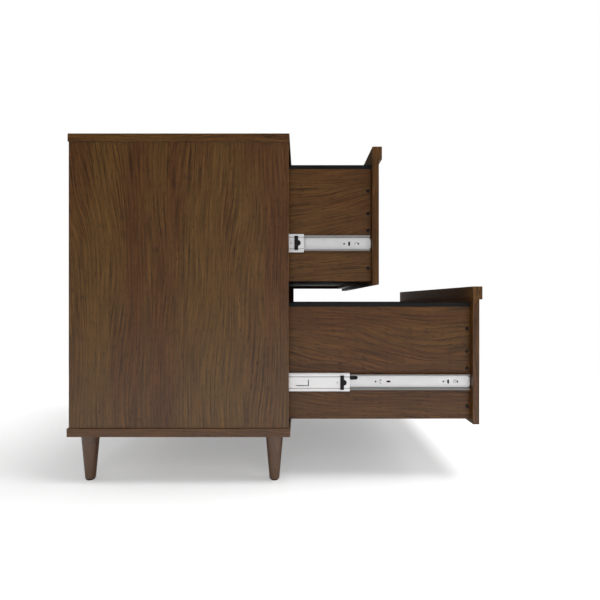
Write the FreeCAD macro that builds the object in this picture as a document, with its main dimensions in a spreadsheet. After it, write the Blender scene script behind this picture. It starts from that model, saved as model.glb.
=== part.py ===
import FreeCAD, Part
import Sketcher
import math
import os
from types import SimpleNamespace

# Two-drawer lateral filing cabinet on round tapered legs, in millimetres.
# +X is to the right seen from the front, the front faces -Y and the floor is Z = 0.
# Both drawers stand open, the upper one part of the way and the lower one nearly all the way.

driving_sizes = {
    # carcass
    "cabinet_width": 800,
    "cabinet_depth": 500,
    "leg_height": 108,
    "base_thickness": 19,
    "side_height": 643,
    "side_thickness": 18,
    "top_thickness": 18,
    "base_overhang": 3.2,
    "top_overhang": 1.8,
    "edge_ease": 0.6,
    "back_thickness": 6,
    "back_inset": 10,
    "groove_depth": 6,
    "panel_fit": 0.2,
    # legs
    "leg_inset": 37,
    "leg_top_diameter": 41,
    "leg_foot_diameter": 23,
    "leg_foot_round": 1.5,
    "leg_bolt_diameter": 8,
    "leg_bolt_in_leg": 25,
    "leg_insert_diameter": 12,
    "leg_insert_height": 14,
    "glide_diameter": 19,
    "glide_height": 3,
    "glide_pin_diameter": 4,
    "glide_pin_length": 10,
    # knock-down fittings of the carcass
    "cam_diameter": 15,
    "cam_depth": 13.2,
    "cam_setback": 24,
    "cam_spread": 175,
    "cam_slot_length": 9,
    "cam_slot_width": 1.6,
    "cam_slot_depth": 2.4,
    "cam_bolt_diameter": 7,
    "cam_bolt_bite": 10,
    "fastener_fit": 0.1,
    # drawer fronts
    "reveal_side": 2,
    "reveal_bottom": 3,
    "reveal_between": 4,
    "reveal_top": 4,
    "front_thickness": 15,
    "pull_height": 30,
    "pull_depth": 22,
    "pull_tongue_width": 6,
    "pull_tongue_height": 8,
    # drawer boxes
    "box_rise": 8.5,
    "box_rim_drop": 46.5,
    "box_back_gap": 5.6,
    "box_side_thickness": 12,
    "box_front_thickness": 15,
    "box_back_thickness": 12,
    "bottom_thickness": 5,
    "bottom_rise": 10,
    "bottom_groove": 5,
    "file_rail_height": 9,
    "file_rail_foot": 2.5,
    "file_rail_rib": 3,
    "file_rail_tongue_width": 2.4,
    "file_rail_tongue_height": 6,
    "file_bar_width": 20,
    "file_bar_height": 15,
    "file_bar_sheet": 1.5,
    "file_bar_end_gap": 1,
    # screws
    "box_screw_head_diameter": 8,
    "box_screw_head_height": 2.5,
    "box_screw_diameter": 4.6,
    "box_screw_length": 36,
    "box_screw_first": 30,
    "box_screw_second": 117.6,
    "box_screw_third_drop": 104.4,
    "box_screw_fourth_drop": 51.6,
    "pan_head_diameter": 7.6,
    "pan_head_height": 2.2,
    "pan_screw_diameter": 4,
    "pan_screw_bite": 9,
    "front_screw_spread": 250,
    "front_screw_low": 60,
    "front_screw_high": 200,
    # telescopic slides
    "slide_rise": 87,
    "slide_thickness": 19,
    "slide_setback": 1.5,
    "middle_shortfall": 25.5,
    "sheet_thickness": 1.3,
    "race_radius": 2.2,
    "ball_diameter": 3.8,
    "outer_ball_across": 8,
    "inner_ball_across": 10.737,
    "inner_ball_up": 17.8,
    "outer_ball_up": 22.8,
    "sheet_bend": 2,
    "middle_web_across": 4.5,
    "middle_web_step": 0.9,
    "middle_web_half": 12.4,
    "middle_web_slope": 1.5,
    "cage_sheet": 0.6,
    "cage_gap": 0.6,
    "cage_reach": 1.2,
    "cage_rib": 5.2,
    "cage_window_margin": 7,
    "inner_cage_lift": 0.3,
    "inner_cage_gap": 0.4,
    "outer_cage_start": 90,
    "outer_cage_length": 250,
    "inner_cage_start": 142,
    "inner_cage_length": 172,
    "ball_pocket_fit": 0.1,
    "hole_set_end": 141.5,
    "flat_slot_at": 31.5,
    "tall_slot_at": 50,
    "round_hole_at": 61.5,
    "slot_length": 10.2,
    "slot_width": 4.6,
    "round_hole_diameter": 4.2,
    "slot_screw_shift": 2.4,
    "rail_nose": 3,
    "rail_nose_chamfer": 3,
    "cabinet_screw_first": 37,
    "cabinet_screw_end": 88.5,
    "flat_head_diameter": 7.5,
    "flat_head_height": 2.4,
    "bumper_setback": 13.4,
    "bumper_width": 8.5,
    "bumper_height": 32.5,
    "bumper_nose": 6,
    "bumper_nose_height": 12.5,
    "bumper_gap": 0.5,
    "bumper_peg_diameter": 5,
    "gauge_hole_at": 29,
    "gauge_hole_diameter": 3,
    "stop_tab_at": 96,
    "stop_tab_length": 27,
    "stop_tab_height": 11.5,
    "stop_tab_raise": 0.6,
    "stop_tab_slot": 2.2,
    "lever_at": 260.6,
    "lever_length": 60,
    "lever_height": 8.4,
    "lever_up": 9.5,
    "lever_thickness": 4,
    "lever_tail_diameter": 6.6,
    "lever_gap": 0.3,
    "lever_pin_diameter": 3,
    # how far each stage of each slide stands out
    "upper_first_stage": 51,
    "upper_second_stage": 155,
    "lower_first_stage": 156,
    "lower_second_stage": 280,
}

doc = FreeCAD.newDocument("LateralFilingCabinet")
sheet = doc.addObject("Spreadsheet::Sheet", "Sizes")
for row, (alias, value) in enumerate(driving_sizes.items(), start=1):
    sheet.set(f"A{row}", alias.replace("_", " "))
    sheet.set(f"B{row}", str(value))
    sheet.setAlias(f"B{row}", alias)
doc.recompute()


class Size:
    """A length as the text of a sheet expression, with its present value."""

    def __init__(self, text, value):
        self.text = text
        self.value = value

    def __add__(self, other):
        other = as_size(other)
        return Size(f"({self.text} + {other.text})", self.value + other.value)

    def __sub__(self, other):
        other = as_size(other)
        return Size(f"({self.text} - {other.text})", self.value - other.value)

    def __mul__(self, other):
        other = as_size(other)
        return Size(f"({self.text} * {other.text})", self.value * other.value)

    def __truediv__(self, other):
        other = as_size(other)
        return Size(f"({self.text} / {other.text})", self.value / other.value)

    def __neg__(self):
        return Size(f"(0 - {self.text})", -self.value)

    def __radd__(self, other):
        return as_size(other) + self

    def __rsub__(self, other):
        return as_size(other) - self

    def __rmul__(self, other):
        return as_size(other) * self


def as_size(value):
    if isinstance(value, Size):
        return value
    return Size(repr(float(value)), float(value))


d = SimpleNamespace(**{alias: Size(f"Sizes.{alias}", float(value)) for alias, value in driving_sizes.items()})
zero = as_size(0)


# Helpers for bodies, sketches and features

def new_body(label):
    body = doc.addObject("PartDesign::Body", label)
    body.Label = label
    return body


def place(piece, across, along, up):
    for letter, size in zip("xyz", (across, along, up)):
        piece.setExpression(f"Placement.Base.{letter}", as_size(size).text)
    return piece


def new_sketch(body, name, role, offset=zero):
    sketch = body.newObject("Sketcher::SketchObject", name)
    plane = next(feature for feature in body.Origin.OriginFeatures if feature.Role == role)
    sketch.AttachmentSupport = [(plane, "")]
    sketch.MapMode = "FlatFace"
    offset = as_size(offset)
    sketch.AttachmentOffset = FreeCAD.Placement(FreeCAD.Vector(0, 0, offset.value), FreeCAD.Rotation())
    sketch.setExpression("AttachmentOffset.Base.z", offset.text)
    return sketch


def bind(sketch, index, size):
    sketch.setExpression(f"Constraints[{index}]", size.text)


def pin_point(sketch, geometry, point, across, up):
    for kind, size in (("DistanceX", across), ("DistanceY", up)):
        size = as_size(size)
        index = sketch.addConstraint(Sketcher.Constraint(kind, -1, 1, geometry, point, size.value))
        bind(sketch, index, size)


def arc_between(start, end, radius, turn):
    chord = end - start
    middle = (start + end) * 0.5
    rise = math.sqrt(max(radius * radius - chord.Length * chord.Length / 4, 0))
    left = FreeCAD.Vector(-chord.y, chord.x, 0).normalize()
    centre = middle + left * (rise * turn)
    first, last = (start, end) if turn > 0 else (end, start)
    angles = [math.atan2(point.y - centre.y, point.x - centre.x) for point in (first, last)]
    circle = Part.Circle(centre, FreeCAD.Vector(0, 0, 1), radius)
    return Part.ArcOfCircle(circle, angles[0], angles[1])


def draw(sketch, corners):
    """Closed outline of (x, y) corners, or (x, y, radius, turn) where an arc leads there, +1 leftwards."""
    spots = [FreeCAD.Vector(as_size(c[0]).value, as_size(c[1]).value, 0) for c in corners]
    ends = []
    for i, corner in enumerate(corners):
        start, end = spots[i - 1], spots[i]
        if len(corner) == 2:
            index = sketch.addGeometry(Part.LineSegment(start, end))
            ends.append((index, 1, 2))
        else:
            radius, turn = as_size(corner[2]), corner[3]
            index = sketch.addGeometry(arc_between(start, end, radius.value, turn))
            ends.append((index, 1, 2) if turn > 0 else (index, 2, 1))
    for i, corner in enumerate(corners):
        index, start_point, end_point = ends[i]
        following, next_start, next_end = ends[(i + 1) % len(ends)]
        sketch.addConstraint(Sketcher.Constraint("Coincident", index, end_point, following, next_start))
        pin_point(sketch, index, end_point, corner[0], corner[1])
        if len(corner) == 4:
            radius = as_size(corner[2])
            bind(sketch, sketch.addConstraint(Sketcher.Constraint("Radius", index, radius.value)), radius)


def rectangle(low_across, low_up, high_across, high_up):
    return [(low_across, low_up), (high_across, low_up), (high_across, high_up), (low_across, high_up)]


def slot(across, up, half_straight, radius, upright=False):
    """Round-ended slot about a point, its straight length along the first axis or upright."""
    reach = half_straight + radius
    steps = [(-half_straight, -radius), (half_straight, -radius), (reach, zero, radius, 1),
             (half_straight, radius, radius, 1), (-half_straight, radius), (-reach, zero, radius, 1)]
    corners = []
    for step in steps:
        first, second = as_size(step[0]), as_size(step[1])
        if upright:
            first, second = -second, first
        corners.append((across + first, up + second) + tuple(step[2:]))
    corners[0] = corners[0][:2] + (radius, 1)
    return corners


def circles(sketch, centres, diameter):
    for across, up in centres:
        across, up = as_size(across), as_size(up)
        centre = FreeCAD.Vector(across.value, up.value, 0)
        index = sketch.addGeometry(Part.Circle(centre, FreeCAD.Vector(0, 0, 1), diameter.value / 2))
        pin_point(sketch, index, 3, across, up)
        bind(sketch, sketch.addConstraint(Sketcher.Constraint("Diameter", index, diameter.value)), diameter)


def sweep(body, kind, name, sketch, length, reverse):
    feature = body.newObject(f"PartDesign::{kind}", name)
    feature.Profile = sketch
    feature.Length = as_size(length).value
    feature.setExpression("Length", as_size(length).text)
    feature.Reversed = reverse
    body.Tip = feature
    return feature


def pad(body, name, role, outlines, length, offset=zero, reverse=False):
    sketch = new_sketch(body, f"{name}_outline", role, offset)
    for outline in outlines:
        draw(sketch, outline)
    return sweep(body, "Pad", name, sketch, length, reverse)


def mill(body, name, role, outlines, depth, offset=zero, reverse=False):
    sketch = new_sketch(body, f"{name}_outline", role, offset)
    for outline in outlines:
        draw(sketch, outline)
    return sweep(body, "Pocket", name, sketch, depth, reverse)


def drill(body, name, role, centres, diameter, depth, offset=zero, reverse=False):
    sketch = new_sketch(body, f"{name}_centres", role, offset)
    circles(sketch, centres, diameter)
    return sweep(body, "Pocket", name, sketch, depth, reverse)


def spin(body, name, corners):
    """Solid of revolution about the upright axis of the body's front plane."""
    sketch = new_sketch(body, f"{name}_outline", "XZ_Plane")
    draw(sketch, corners)
    turned = body.newObject("PartDesign::Revolution", name)
    turned.Profile = sketch
    turned.ReferenceAxis = (sketch, ["V_Axis"])
    turned.Angle = 360
    body.Tip = turned
    return turned


def ease(body, solid):
    """Break every edge of a plain panel."""
    doc.recompute()
    chamfer = body.newObject("PartDesign::Chamfer", "eased_edges")
    chamfer.Base = (solid, [f"Edge{i + 1}" for i in range(len(solid.Shape.Edges))])
    chamfer.Size = d.edge_ease.value
    chamfer.setExpression("Size", d.edge_ease.text)
    body.Tip = chamfer
    return chamfer


def panel(label, width, depth, height, eased=True):
    """Board with one corner at its own origin."""
    body = new_body(label)
    board = pad(body, "board", "XY_Plane", [rectangle(zero, zero, width, depth)], height)
    if eased:
        ease(body, board)
    return body


def mirror_halves(body, feature):
    """Repeat a profile on the other side of the body's level plane."""
    whole = body.newObject("PartDesign::Mirrored", "both_halves")
    whole.Originals = [feature]
    level = next(plane for plane in body.Origin.OriginFeatures if plane.Role == "XY_Plane")
    whole.MirrorPlane = (level, [""])
    body.Tip = whole
    return whole


def right_hand(source, label):
    """Right-hand piece, the mirror image of the left-hand one."""
    piece = doc.addObject("Part::Mirroring", label)
    piece.Label = label
    piece.Source = source
    piece.Normal = FreeCAD.Vector(1, 0, 0)
    return piece


def copies(master, places, turn=FreeCAD.Rotation()):
    made = []
    for across, along, up in places:
        link = doc.addObject("App::Link", f"{master.Name}_copy")
        link.LinkedObject = master
        link.Placement = FreeCAD.Placement(FreeCAD.Vector(), turn)
        made.append(place(link, across, along, up))
    return made


def group(label, members):
    piece = doc.addObject("Part::Compound", label)
    piece.Label = label
    piece.Links = members
    return piece


nodes = []


def keep(*pieces):
    nodes.extend(pieces)


# Levels and planes shared by the pieces

side_outer = d.cabinet_width / 2 - d.base_overhang
side_inner = side_outer - d.side_thickness
side_half_depth = d.cabinet_depth / 2 - d.base_overhang
side_depth = 2 * side_half_depth
base_top = d.leg_height + d.base_thickness
case_top = base_top + d.side_height
top_half_width = side_outer + d.top_overhang
top_half_depth = side_half_depth + d.top_overhang
back_face = side_half_depth - d.back_inset - d.back_thickness
groove_width = d.back_thickness + 2 * d.panel_fit
leg_across = d.cabinet_width / 2 - d.leg_inset
leg_along = d.cabinet_depth / 2 - d.leg_inset
front_height = (d.side_height - d.reveal_bottom - d.reveal_between - d.reveal_top) / 2
front_half_width = side_inner - d.reveal_side
box_outer = side_inner - d.slide_thickness
box_inner = box_outer - d.box_side_thickness
closed_face = d.front_thickness - side_half_depth
rail_front = closed_face + d.slide_setback
box_height = front_height - d.box_rise - d.box_rim_drop
box_depth = back_face - closed_face - d.box_back_gap
slide_length = box_depth - d.slide_setback
middle_length = slide_length - d.middle_shortfall
outer_race = d.race_radius + d.sheet_thickness
cabinet_screw_pitch = (slide_length - d.cabinet_screw_first - d.cabinet_screw_end) / 2
hole_set_pitch = (slide_length - d.hole_set_end) / 2

front_bottom = {"lower": base_top + d.reveal_bottom}
front_bottom["upper"] = front_bottom["lower"] + front_height + d.reveal_between
first_stage = {"upper": d.upper_first_stage, "lower": d.lower_first_stage}
second_stage = {"upper": d.upper_second_stage, "lower": d.lower_second_stage}


def slide_level(drawer):
    return front_bottom[drawer] + d.box_rise + d.slide_rise


cabinet_screw_steps = [d.cabinet_screw_first + n * cabinet_screw_pitch for n in range(3)]
cam_lines = [-d.cam_spread, d.cam_spread]
leg_corners = [(side * leg_across, end * leg_along) for side in (-1, 1) for end in (-1, 1)]


# Carcass panels

def build_side_panel():
    body = panel("left_side_panel", d.side_thickness, side_depth, d.side_height)
    groove_low = back_face + side_half_depth - d.panel_fit
    inner = d.side_thickness
    groove = rectangle(inner - d.groove_depth, groove_low, inner, groove_low + groove_width)
    mill(body, "back_groove", "XY_Plane", [groove], d.side_height, reverse=True)
    cams = [(side_half_depth + line, level) for line in cam_lines
            for level in (d.cam_setback, d.side_height - d.cam_setback)]
    cam_bore = d.cam_diameter + 2 * d.fastener_fit
    drill(body, "cam_bores", "YZ_Plane", cams, cam_bore, d.cam_depth + d.fastener_fit, offset=inner)
    bolts = [(inner / 2, side_half_depth + line) for line in cam_lines]
    bolt_bore = d.cam_bolt_diameter + 2 * d.fastener_fit
    drill(body, "low_bolt_bores", "XY_Plane", bolts, bolt_bore, d.cam_setback, reverse=True)
    drill(body, "high_bolt_bores", "XY_Plane", bolts, bolt_bore, d.cam_setback, offset=d.side_height)
    screws = [(rail_front + step + side_half_depth, slide_level(drawer) - base_top)
              for drawer in ("lower", "upper") for step in cabinet_screw_steps]
    pilot = d.pan_screw_diameter + 2 * d.fastener_fit
    drill(body, "slide_pilots", "YZ_Plane", screws, pilot, d.pan_screw_bite + 1, offset=inner)
    sink = d.flat_head_diameter + 2 * d.fastener_fit
    drill(body, "slide_sinks", "YZ_Plane", screws, sink, d.flat_head_height, offset=inner)
    place(body, -side_outer, -side_half_depth, base_top)
    keep(body, right_hand(body, "right_side_panel"))


def build_top_panel():
    body = panel("top_panel", 2 * top_half_width, 2 * top_half_depth, d.top_thickness)
    reach = side_inner + d.groove_depth
    groove_low = back_face + top_half_depth - d.panel_fit
    groove = rectangle(top_half_width - reach, groove_low, top_half_width + reach, groove_low + groove_width)
    mill(body, "back_groove", "XY_Plane", [groove], d.groove_depth, reverse=True)
    bolt_line = side_outer - d.side_thickness / 2
    bolts = [(top_half_width + side * bolt_line, top_half_depth + line)
             for side in (-1, 1) for line in cam_lines]
    bolt_bore = d.cam_bolt_diameter + 2 * d.fastener_fit
    drill(body, "bolt_bores", "XY_Plane", bolts, bolt_bore, d.cam_bolt_bite + d.fastener_fit, reverse=True)
    keep(place(body, -top_half_width, -top_half_depth, case_top))


def build_base_panel():
    half_width, half_depth = d.cabinet_width / 2, d.cabinet_depth / 2
    body = panel("base_panel", d.cabinet_width, d.cabinet_depth, d.base_thickness)
    reach = side_inner + d.groove_depth
    groove_low = back_face + half_depth - d.panel_fit
    groove = rectangle(half_width - reach, groove_low, half_width + reach, groove_low + groove_width)
    mill(body, "back_groove", "XY_Plane", [groove], d.groove_depth, offset=d.base_thickness)
    bolt_line = side_outer - d.side_thickness / 2
    bolts = [(half_width + side * bolt_line, half_depth + line) for side in (-1, 1) for line in cam_lines]
    bolt_bore = d.cam_bolt_diameter + 2 * d.fastener_fit
    bite = d.cam_bolt_bite + d.fastener_fit
    drill(body, "bolt_bores", "XY_Plane", bolts, bolt_bore, bite, offset=d.base_thickness)
    inserts = [(half_width + across, half_depth + along) for across, along in leg_corners]
    insert_bore = d.leg_insert_diameter + 2 * d.fastener_fit
    drill(body, "leg_insert_bores", "XY_Plane", inserts, insert_bore, d.leg_insert_height, reverse=True)
    keep(place(body, -half_width, -half_depth, d.leg_height))


def build_back_panel():
    reach = d.groove_depth - d.panel_fit
    half_width = side_inner + reach
    body = panel("back_panel", 2 * half_width, d.back_thickness, d.side_height + 2 * reach, eased=False)
    keep(place(body, -half_width, back_face, base_top - reach))


def build_cam_fittings():
    cam = new_body("cam_lock")
    drum = new_sketch(cam, "drum_outline", "YZ_Plane")
    circles(drum, [(zero, zero)], d.cam_diameter)
    sweep(cam, "Pad", "drum", drum, d.cam_depth, False)
    half_slot = d.cam_slot_length / 2
    cross = [rectangle(-half_slot, -d.cam_slot_width / 2, half_slot, d.cam_slot_width / 2)]
    mill(cam, "key_slot", "YZ_Plane", cross, d.cam_slot_depth, offset=d.cam_depth)
    bolt = doc.addObject("Part::Cylinder", "cam_bolt")
    bolt.setExpression("Radius", (d.cam_bolt_diameter / 2).text)
    bolt.setExpression("Height", (d.cam_setback - d.cam_diameter / 2 + d.cam_bolt_bite).text)
    cam_face = -side_inner - d.cam_depth
    bolt_line = d.side_thickness / 2 - side_outer
    cams = [(cam_face, line, level) for line in cam_lines
            for level in (base_top + d.cam_setback, case_top - d.cam_setback)]
    bolts = [(bolt_line, line, level) for line in cam_lines
             for level in (base_top - d.cam_bolt_bite, case_top - d.cam_setback + d.cam_diameter / 2)]
    left = group("left_cam_fittings", copies(cam, cams) + copies(bolt, bolts))
    keep(group("cam_fittings", [left, right_hand(left, "right_cam_fittings")]))


# Legs

def build_legs():
    foot, top = d.leg_foot_diameter / 2, d.leg_top_diameter / 2
    pin = d.glide_pin_diameter / 2 + d.fastener_fit
    bolt = d.leg_bolt_diameter / 2 + d.fastener_fit
    pin_top = d.glide_height + d.glide_pin_length + d.fastener_fit
    bolt_floor = d.leg_height - d.leg_bolt_in_leg - d.fastener_fit
    profile = [(zero, pin_top), (pin, pin_top), (pin, d.glide_height),
               (foot - d.leg_foot_round, d.glide_height),
               (foot, d.glide_height + d.leg_foot_round, d.leg_foot_round, 1), (top, d.leg_height),
               (bolt, d.leg_height), (bolt, bolt_floor), (zero, bolt_floor)]
    labels = ("front_left_leg", "rear_left_leg", "front_right_leg", "rear_right_leg")
    for label, (across, along) in zip(labels, leg_corners):
        body = new_body(label)
        spin(body, "turned_leg", profile)
        keep(place(body, across, along, zero))


def build_leg_hardware():
    bolt = doc.addObject("Part::Cylinder", "leg_bolt")
    bolt.setExpression("Radius", (d.leg_bolt_diameter / 2).text)
    bolt.setExpression("Height", (d.leg_bolt_in_leg + d.leg_insert_height - 1).text)
    bolt_foot = d.leg_height - d.leg_bolt_in_leg
    keep(group("leg_bolts", copies(bolt, [(x, y, bolt_foot) for x, y in leg_corners])))
    insert = new_body("leg_insert")
    bore, rim = d.leg_bolt_diameter / 2 + d.fastener_fit, d.leg_insert_diameter / 2
    spin(insert, "sleeve", rectangle(bore, zero, rim, d.leg_insert_height))
    keep(group("leg_inserts", copies(insert, [(x, y, d.leg_height) for x, y in leg_corners])))
    glide = new_body("foot_glide")
    pin, rim = d.glide_pin_diameter / 2, d.glide_diameter / 2
    soft = d.glide_height / 2
    spin(glide, "button", [(zero, zero), (rim - soft, zero), (rim, soft, soft, 1), (rim, d.glide_height),
                           (pin, d.glide_height), (pin, d.glide_height + d.glide_pin_length),
                           (zero, d.glide_height + d.glide_pin_length)])
    keep(group("foot_glides", copies(glide, [(x, y, zero) for x, y in leg_corners])))


# Screws, each with its head on the level plane and its shank upwards

def build_screw(name, head_diameter, head_height, diameter, length):
    screw = new_body(name)
    head, shank = head_diameter / 2, diameter / 2
    spin(screw, "turned_screw", [(zero, -head_height), (head * 0.6, -head_height), (head, -head_height * 0.4),
                                 (head, zero), (shank, zero), (shank, length), (zero, length)])
    return screw


def build_flat_screw():
    screw = new_body("flat_screw")
    head, shank = d.flat_head_diameter / 2, d.pan_screw_diameter / 2
    reach = d.sheet_thickness + d.pan_screw_bite
    spin(screw, "turned_screw", [(zero, zero), (head, zero), (shank, d.flat_head_height),
                                 (shank, reach), (zero, reach)])
    return screw


# Telescopic slides. The slide's own frame starts at the side panel's inner face,
# runs across towards the drawer and is level with the middle of the slide.

def profile_member(label, half_profile, length):
    body = new_body(label)
    half = pad(body, "rolled_half", "XZ_Plane", [half_profile], length, reverse=True)
    mirror_halves(body, half)
    return body


def cabinet_half_profile():
    bend, sheet_t, race = d.sheet_bend, d.sheet_thickness, d.race_radius
    across, up = d.outer_ball_across, d.outer_ball_up
    crown = up + outer_race
    return [(zero, zero), (zero, crown - bend), (bend, crown, bend, -1), (across, crown),
            (across + outer_race, up, outer_race, -1), (across + race, up), (across, up + race, race, 1),
            (bend, crown - sheet_t), (sheet_t, crown - bend, bend - sheet_t, 1), (sheet_t, zero)]


def middle_half_profile():
    bend, sheet_t, race = d.sheet_bend, d.sheet_thickness, d.race_radius
    web, web_out = d.middle_web_across, d.middle_web_across - d.middle_web_step
    knee_low, knee_high = d.middle_web_half, d.middle_web_half + d.middle_web_slope
    far, far_up, near, near_up = d.outer_ball_across, d.outer_ball_up, d.inner_ball_across, d.inner_ball_up
    ball_span = 2 * race + sheet_t
    lean_across, lean_up = (near - far) / ball_span, (far_up - near_up) / ball_span
    trough = far_up - race
    return [(web_out, zero), (web_out, knee_low), (web, knee_high), (web, trough - bend),
            (web + bend, trough, bend, -1), (far, trough),
            (far + race * lean_across, far_up - race * lean_up, race, 1),
            (near, near_up + outer_race, outer_race, -1), (near + outer_race, near_up, outer_race, -1),
            (near + race, near_up), (near, near_up + race, race, 1),
            (near - race * lean_across, near_up + race * lean_up, race, 1),
            (far, far_up - outer_race, outer_race, -1), (web + bend, trough - sheet_t),
            (web + sheet_t, trough - bend, bend - sheet_t, 1), (web + sheet_t, knee_high),
            (web_out + sheet_t, knee_low), (web_out + sheet_t, zero)]


def drawer_half_profile():
    bend, sheet_t, race = d.sheet_bend, d.sheet_thickness, d.race_radius
    wall, near, near_up = d.slide_thickness, d.inner_ball_across, d.inner_ball_up
    flange = near_up - race
    return [(wall, zero), (wall, flange - bend), (wall - bend, flange, bend, 1), (near, flange),
            (near - race, near_up, race, -1), (near - outer_race, near_up),
            (near, near_up - outer_race, outer_race, 1), (wall - bend, flange - sheet_t),
            (wall - sheet_t, flange - bend, bend - sheet_t, -1), (wall - sheet_t, zero)]


def build_cabinet_runners(drawer):
    body = profile_member(f"{drawer}_left_cabinet_runner", cabinet_half_profile(), slide_length)
    bore = d.flat_head_diameter + 2 * d.fastener_fit
    screws = [(step, zero) for step in cabinet_screw_steps]
    drill(body, "screw_holes", "YZ_Plane", screws, bore, d.sheet_thickness, reverse=True)
    place(body, -side_inner, rail_front, slide_level(drawer))
    keep(body, right_hand(body, f"{drawer}_right_cabinet_runner"))


def build_cabinet_runner_screws(screw):
    turn = FreeCAD.Rotation(FreeCAD.Vector(0, 1, 0), -90)
    places = [(d.sheet_thickness - side_inner, rail_front + step, slide_level(drawer))
              for drawer in ("upper", "lower") for step in cabinet_screw_steps]
    left = group("left_cabinet_runner_screws", copies(screw, places, turn))
    keep(group("cabinet_runner_screws", [left, right_hand(left, "right_cabinet_runner_screws")]))


def build_middle_runners(drawer):
    body = profile_member(f"{drawer}_left_middle_runner", middle_half_profile(), middle_length)
    web_out = d.middle_web_across - d.middle_web_step
    tab_low, tab_high = d.stop_tab_at, d.stop_tab_at + d.stop_tab_length
    half_tab = d.stop_tab_height / 2
    tab = rectangle(tab_low, -half_tab, tab_high, half_tab)
    pad(body, "stop_tab", "YZ_Plane", [tab], d.stop_tab_raise, offset=web_out - d.stop_tab_raise)
    lance_low, lance_foot = tab_low - d.stop_tab_slot, -half_tab - d.stop_tab_slot
    lance = [(lance_low, lance_foot), (tab_high, lance_foot), (tab_high, -half_tab), (tab_low, -half_tab),
             (tab_low, half_tab), (lance_low, half_tab)]
    mill(body, "stop_tab_slot", "YZ_Plane", [lance], d.sheet_thickness, offset=web_out, reverse=True)
    gauge = [(d.gauge_hole_at, zero)]
    drill(body, "gauge_hole", "YZ_Plane", gauge, d.gauge_hole_diameter, d.sheet_thickness, web_out, True)
    peg = [(d.bumper_setback + d.bumper_width / 2, zero)]
    bore = d.bumper_peg_diameter + 2 * d.fastener_fit
    drill(body, "bumper_hole", "YZ_Plane", peg, bore, d.sheet_thickness, web_out, True)
    place(body, -side_inner, rail_front - first_stage[drawer], slide_level(drawer))
    keep(body, right_hand(body, f"{drawer}_right_middle_runner"))


def build_bumpers(drawer):
    body = new_body(f"{drawer}_left_bumper")
    web_out = d.middle_web_across - d.middle_web_step
    outer_face = d.sheet_thickness + d.bumper_gap
    half_bar, half_nose = d.bumper_height / 2, d.bumper_nose_height / 2
    front, back = d.bumper_setback, d.bumper_setback + d.bumper_width
    nose = d.bumper_setback - d.bumper_nose
    outline = [(front, -half_bar), (back, -half_bar), (back, half_bar), (front, half_bar), (front, half_nose),
               (nose, zero, half_nose, 1), (front, -half_nose, half_nose, 1)]
    pad(body, "bar", "YZ_Plane", [outline], web_out - outer_face, offset=outer_face)
    peg = new_sketch(body, "peg_outline", "YZ_Plane", web_out)
    circles(peg, [(front + d.bumper_width / 2, zero)], d.bumper_peg_diameter)
    sweep(body, "Pad", "peg", peg, d.sheet_thickness, False)
    place(body, -side_inner, rail_front - first_stage[drawer], slide_level(drawer))
    keep(group(f"{drawer}_slide_bumpers", [body, right_hand(body, f"{drawer}_right_bumper")]))


def build_ball_cages(drawer, ball):
    levels = {"outer": d.outer_ball_up, "inner": d.inner_ball_up}
    across = {"outer": d.outer_ball_across, "inner": d.inner_ball_across}
    web = {"outer": d.sheet_thickness + d.cage_gap,
           "inner": d.middle_web_across + d.sheet_thickness + d.inner_cage_gap}
    flange = {"outer": d.outer_ball_up - d.cage_sheet / 2, "inner": d.inner_ball_up + d.inner_cage_lift}
    length = {"outer": d.outer_cage_length, "inner": d.inner_cage_length}
    start = {"outer": rail_front + d.outer_cage_start - first_stage[drawer] / 2,
             "inner": rail_front + d.inner_cage_start - first_stage[drawer] - second_stage[drawer] / 2}
    pocket = d.ball_diameter + d.ball_pocket_fit
    for row in ("outer", "inner"):
        body = new_body(f"{drawer}_left_{row}_cage")
        inside, outside = web[row], web[row] + d.cage_sheet
        low, high = flange[row], flange[row] + d.cage_sheet
        tip = across[row] + d.cage_reach
        half = [(inside, zero), (inside, high), (tip, high), (tip, low), (outside, low), (outside, zero)]
        mirror_halves(body, pad(body, "folded_half", "XZ_Plane", [half], length[row], reverse=True))
        steps = [length[row] * share for share in (0.1, 0.5, 0.9)]
        half_window = levels[row] - d.cage_window_margin
        windows = [rectangle(ball_before + d.cage_rib, -half_window, ball_after - d.cage_rib, half_window)
                   for ball_before, ball_after in zip(steps, steps[1:])]
        mill(body, "windows", "YZ_Plane", windows, d.cage_sheet, offset=inside, reverse=True)
        balls = [(across[row], step) for step in steps]
        drill(body, "ball_pockets", "XY_Plane", balls, pocket, 2 * high, offset=high)
        place(body, -side_inner, start[row], slide_level(drawer))
        places = [(across[row] - side_inner, start[row] + step, slide_level(drawer) + side * levels[row])
                  for step in steps for side in (-1, 1)]
        left = group(f"{drawer}_left_{row}_row", [body] + copies(ball, places))
        keep(group(f"{drawer}_{row}_ball_cages", [left, right_hand(left, f"{drawer}_right_{row}_row")]))


def hole_sets():
    return [n * hole_set_pitch for n in range(3)]


def drawer_screw_steps():
    first, second, third = hole_sets()
    return [first + d.flat_slot_at + d.slot_screw_shift, second + d.tall_slot_at, third + d.round_hole_at]


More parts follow.
